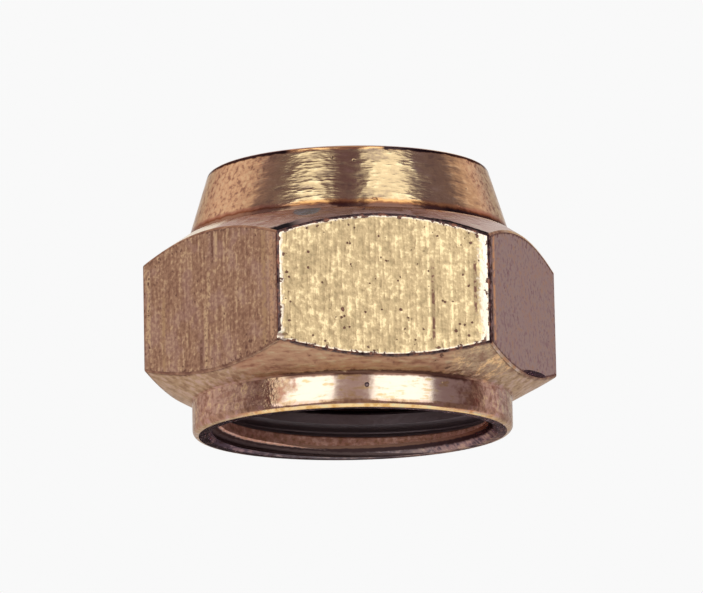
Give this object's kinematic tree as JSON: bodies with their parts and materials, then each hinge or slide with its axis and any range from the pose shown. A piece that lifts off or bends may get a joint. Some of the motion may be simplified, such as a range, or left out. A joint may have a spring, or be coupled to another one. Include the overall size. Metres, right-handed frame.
{
  "type": "flare nut",
  "caption": "Short brass flare nut: hexagonal body, tapered neck bored for the tube, 45 degree flare seat inside and an internally threaded mouth in a round collar.",
  "frame": {"origin": "centre of the threaded mouth's end face, on the axis", "axes": "+Z along the nut's axis from the threaded mouth to the neck; two flats of the hexagon face +Y and -Y, two corners lie on X"},
  "size_m": [0.0276, 0.024, 0.0174],
  "materials": {
    "brass": "turned and drawn brass, aged brown, unplated"
  },
  "bodies": {
    "root": {"flare_nut": "brass"}
  },
  "joints": []
}
